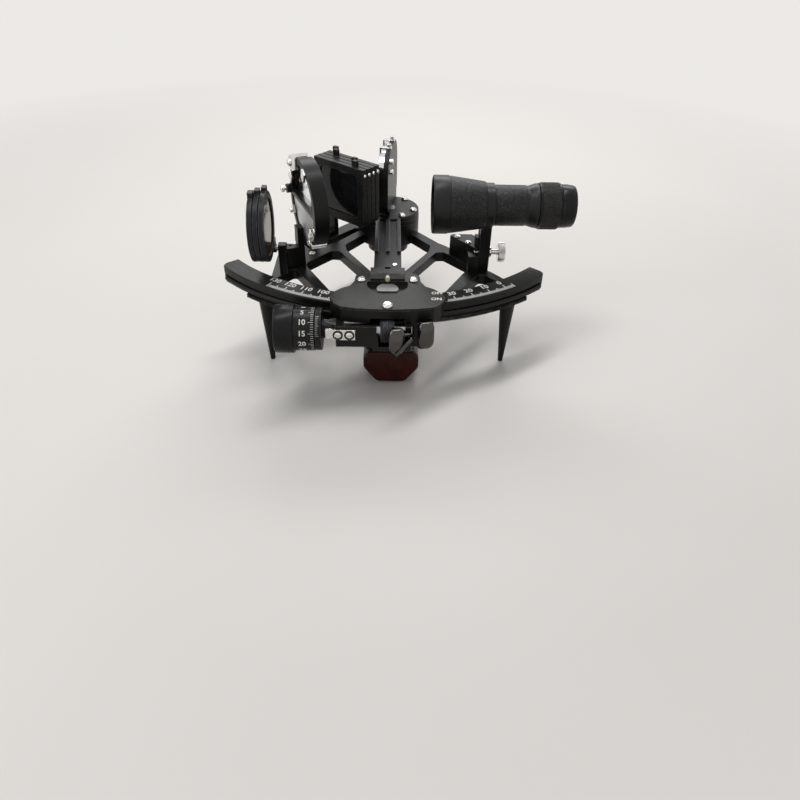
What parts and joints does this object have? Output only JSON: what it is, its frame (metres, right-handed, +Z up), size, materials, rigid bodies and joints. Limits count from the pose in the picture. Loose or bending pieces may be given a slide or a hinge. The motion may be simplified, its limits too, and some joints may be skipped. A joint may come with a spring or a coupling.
{
  "type": "marine sextant",
  "caption": "Micrometer drum sextant: black lattice frame with arc and legs, index arm, two mirrors, swinging shades and a telescope.",
  "frame": {"origin": "flat foot of the rear leg, on the pivot's axis", "axes": "+Z up along the pivot's axis, -Y from the pivot to the middle of the arc, +X to the telescope's eyepiece"},
  "size_m": [0.2552, 0.2184, 0.1388],
  "materials": {
    "black_metal": "satin",
    "worn_black": "satin",
    "nickel": "brushed",
    "dark_chrome": "polished",
    "brass": "satin",
    "bakelite": "gloss",
    "clear_glass": "polished",
    "filter_amber": "polished",
    "filter_green": "polished",
    "filter_blue": "polished",
    "filter_dark": "polished",
    "mirror": "polished",
    "backing_grey": "matte",
    "lamp": "polished"
  },
  "bodies": {
    "frame": {"frame": "black_metal", "toothed_rack": "nickel", "leg_left": "black_metal", "leg_right": "black_metal", "leg_rear": "black_metal", "pivot_bush": "brass", "handle_grip": "bakelite", "handle_end_cap": "bakelite", "handle_brackets": "black_metal", "frame_screws": "nickel", "horizon_mirror_base": "black_metal", "horizon_mirror_frame": "black_metal", "horizon_mirror_glass": "clear_glass", "horizon_mirror_backing": "backing_grey", "horizon_mirror_clips": "nickel", "horizon_shade_bracket": "black_metal", "horizon_shade_pin": "nickel", "index_shade_bracket": "black_metal", "index_shade_pin": "nickel", "telescope_stand": "black_metal"},
    "horizon_shade_1": {"horizon_shade_frame_1": "worn_black", "horizon_shade_glass_1": "filter_amber"},
    "horizon_shade_2": {"horizon_shade_frame_2": "worn_black", "horizon_shade_glass_2": "filter_blue"},
    "horizon_shade_3": {"horizon_shade_frame_3": "worn_black", "horizon_shade_glass_3": "filter_green"},
    "index_shade_1": {"index_shade_frame_1": "black_metal", "index_shade_glass_1": "filter_amber"},
    "index_shade_2": {"index_shade_frame_2": "black_metal", "index_shade_glass_2": "filter_green"},
    "index_shade_3": {"index_shade_frame_3": "black_metal", "index_shade_glass_3": "filter_blue"},
    "index_shade_4": {"index_shade_frame_4": "black_metal", "index_shade_glass_4": "filter_dark"},
    "telescope": {"rising_piece": "black_metal", "telescope_tube": "black_metal", "objective_lens": "clear_glass"},
    "focus": {"focus_ring": "worn_black"},
    "eyepiece": {"eyepiece_cup": "black_metal", "eyepiece_lens": "clear_glass"},
    "thumb_screw": {"thumb_screw": "nickel"},
    "arm": {"index_arm": "black_metal", "arm_disc": "worn_black", "arm_screws": "nickel", "pivot_shaft": "nickel", "index_mirror_frame": "black_metal", "index_mirror_glass": "mirror", "index_mirror_clips": "nickel", "lamp_housing": "black_metal", "housing_cover": "worn_black", "index_plate": "backing_grey", "lamp_bulb": "lamp", "fixed_lever": "dark_chrome"},
    "carriage": {"swing_carriage": "black_metal", "moving_lever": "dark_chrome", "bearing_plate": "nickel", "vernier_ring": "black_metal"},
    "drum": {"worm": "nickel", "micrometer_drum": "black_metal"},
    "switch": {"lamp_switch": "worn_black"}
  },
  "joints": [
    {"name": "arm_swing", "type": "hinge", "parent": "frame", "child": "arm", "pos_m": [0, 0, 0.07], "axis": [0, 0, 1], "range_deg": [-32.5, 35]},
    {"name": "carriage_release", "type": "hinge", "parent": "arm", "child": "carriage", "pos_m": [0.024, -0.166, 0.055], "axis": [0, 0, 1], "range_deg": [0, 4], "stiffness_Nm_per_rad": 2, "springref_deg": -5.73},
    {"name": "drum_turn", "type": "hinge", "parent": "carriage", "child": "drum", "pos_m": [-0.05, -0.1685, 0.058], "axis": [1, 0, 0], "range_deg": [-23400, 25200]},
    {"name": "index_shade_1_turn", "type": "hinge", "parent": "frame", "child": "index_shade_1", "pos_m": [-0.05129, -0.02223, 0.084], "axis": [-0.6428, -0.766, 0], "range_deg": [0, 100]},
    {"name": "index_shade_2_turn", "type": "hinge", "parent": "frame", "child": "index_shade_2", "pos_m": [-0.05129, -0.02223, 0.084], "axis": [-0.6428, -0.766, 0], "range_deg": [0, 100]},
    {"name": "index_shade_3_turn", "type": "hinge", "parent": "frame", "child": "index_shade_3", "pos_m": [-0.05129, -0.02223, 0.084], "axis": [-0.6428, -0.766, 0], "range_deg": [0, 100]},
    {"name": "index_shade_4_turn", "type": "hinge", "parent": "frame", "child": "index_shade_4", "pos_m": [-0.05129, -0.02223, 0.084], "axis": [-0.6428, -0.766, 0], "range_deg": [0, 100]},
    {"name": "horizon_shade_1_turn", "type": "hinge", "parent": "frame", "child": "horizon_shade_1", "pos_m": [-0.088, -0.0875, 0.0773], "axis": [1, 0, 0], "range_deg": [-61, 0]},
    {"name": "horizon_shade_2_turn", "type": "hinge", "parent": "frame", "child": "horizon_shade_2", "pos_m": [-0.088, -0.0875, 0.0773], "axis": [1, 0, 0], "range_deg": [-61, 0]},
    {"name": "horizon_shade_3_turn", "type": "hinge", "parent": "frame", "child": "horizon_shade_3", "pos_m": [-0.088, -0.0875, 0.0773], "axis": [1, 0, 0], "range_deg": [-61, 0]},
    {"name": "telescope_rise", "type": "slide", "parent": "frame", "child": "telescope", "axis": [0, 0, 1], "range_m": [-0.005, 0.005]},
    {"name": "thumb_screw_turn", "type": "hinge", "parent": "frame", "child": "thumb_screw", "pos_m": [0.077, -0.073, 0.0697], "axis": [1, 0, 0], "range_deg": [-360, 0]},
    {"name": "focus_turn", "type": "hinge", "parent": "telescope", "child": "focus", "pos_m": [0.118, -0.075, 0.1075], "axis": [1, 0, 0], "range_deg": [0, 540]},
    {"name": "eyepiece_slide", "type": "slide", "parent": "telescope", "child": "eyepiece", "axis": [1, 0, 0], "range_m": [0, 0.003]},
    {"name": "switch_slide", "type": "slide", "parent": "arm", "child": "switch", "axis": [0, -1, 0], "range_m": [0, 0.002]}
  ],
  "couplings": [
    {"joint": "arm_swing", "follows": "drum_turn", "ratio": 0.0013889},
    {"joint": "eyepiece_slide", "follows": "focus_turn", "m_per_rad": 0.00031831}
  ]
}
